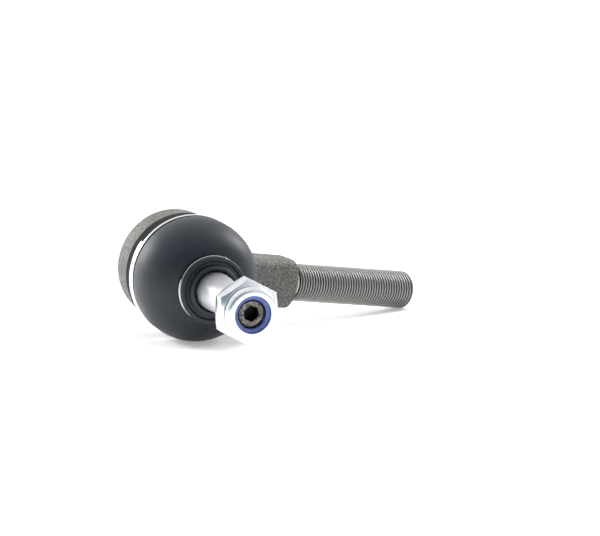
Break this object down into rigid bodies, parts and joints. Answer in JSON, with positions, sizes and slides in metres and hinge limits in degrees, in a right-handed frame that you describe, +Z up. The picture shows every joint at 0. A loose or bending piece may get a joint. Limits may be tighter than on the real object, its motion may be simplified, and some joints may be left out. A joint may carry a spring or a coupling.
{
  "type": "tie rod end",
  "caption": "Outer tie rod end: forged ball joint housing with a threaded shank, rubber dust boot and a tapered ball stud with its nylon-insert lock nut.",
  "frame": {"origin": "on the ground plane, below the middle of the part's box", "axes": "+Z up, +X towards the threaded end of the shank, -Y towards the end of the ball stud; the part lies on its dust boot and on the end of its shank's thread, as it does when put down"},
  "size_m": [0.1626, 0.105, 0.0519],
  "materials": {
    "forged_steel": "shot-blasted and phosphated, matt grey",
    "zinc_plate": "bright zinc plate",
    "spring_steel": "bright spring wire and strip",
    "black_rubber": "smooth, satin",
    "white_acetal": "as moulded",
    "blue_nylon": "as moulded"
  },
  "bodies": {
    "housing": {"forged_housing": "forged_steel", "closing_plate": "zinc_plate", "preload_disc_spring": "spring_steel", "boot_spring_ring": "spring_steel", "dust_boot": "black_rubber"},
    "bearing_seat": {"upper_ball_seat": "white_acetal", "lower_ball_seat": "white_acetal"},
    "boot_neck": {"boot_neck_ring": "spring_steel"},
    "stud": {"ball_stud": "zinc_plate"},
    "insert": {"nylon_insert": "blue_nylon"},
    "nut": {"lock_nut": "zinc_plate"}
  },
  "joints": [
    {"name": "swing_direction", "type": "hinge", "parent": "housing", "child": "bearing_seat", "pos_m": [-0.04277, 0.02156, 0.02625], "axis": [-0.3791, -0.9225, -0.0722], "continuous": true},
    {"name": "stud_swing", "type": "hinge", "parent": "bearing_seat", "child": "boot_neck", "pos_m": [-0.04277, 0.02156, 0.02625], "axis": [0.148, -0.1375, 0.9794], "range_deg": [-25, 25], "deforming": ["dust_boot"]},
    {"name": "stud_spin", "type": "hinge", "parent": "boot_neck", "child": "stud", "pos_m": [-0.04277, 0.02156, 0.02625], "axis": [-0.3791, -0.9225, -0.0722], "continuous": true},
    {"name": "nut_travel", "type": "slide", "parent": "stud", "child": "insert", "axis": [-0.3791, -0.9225, -0.0722], "range_m": [-0.007, 0.009]},
    {"name": "nut_turn", "type": "hinge", "parent": "insert", "child": "nut", "pos_m": [-0.07075, -0.04654, 0.02092], "axis": [-0.3791, -0.9225, -0.0722], "range_deg": [-1685, 2165]}
  ],
  "couplings": [
    {"joint": "nut_turn", "follows": "nut_travel", "rad_per_m": 4188.8}
  ]
}
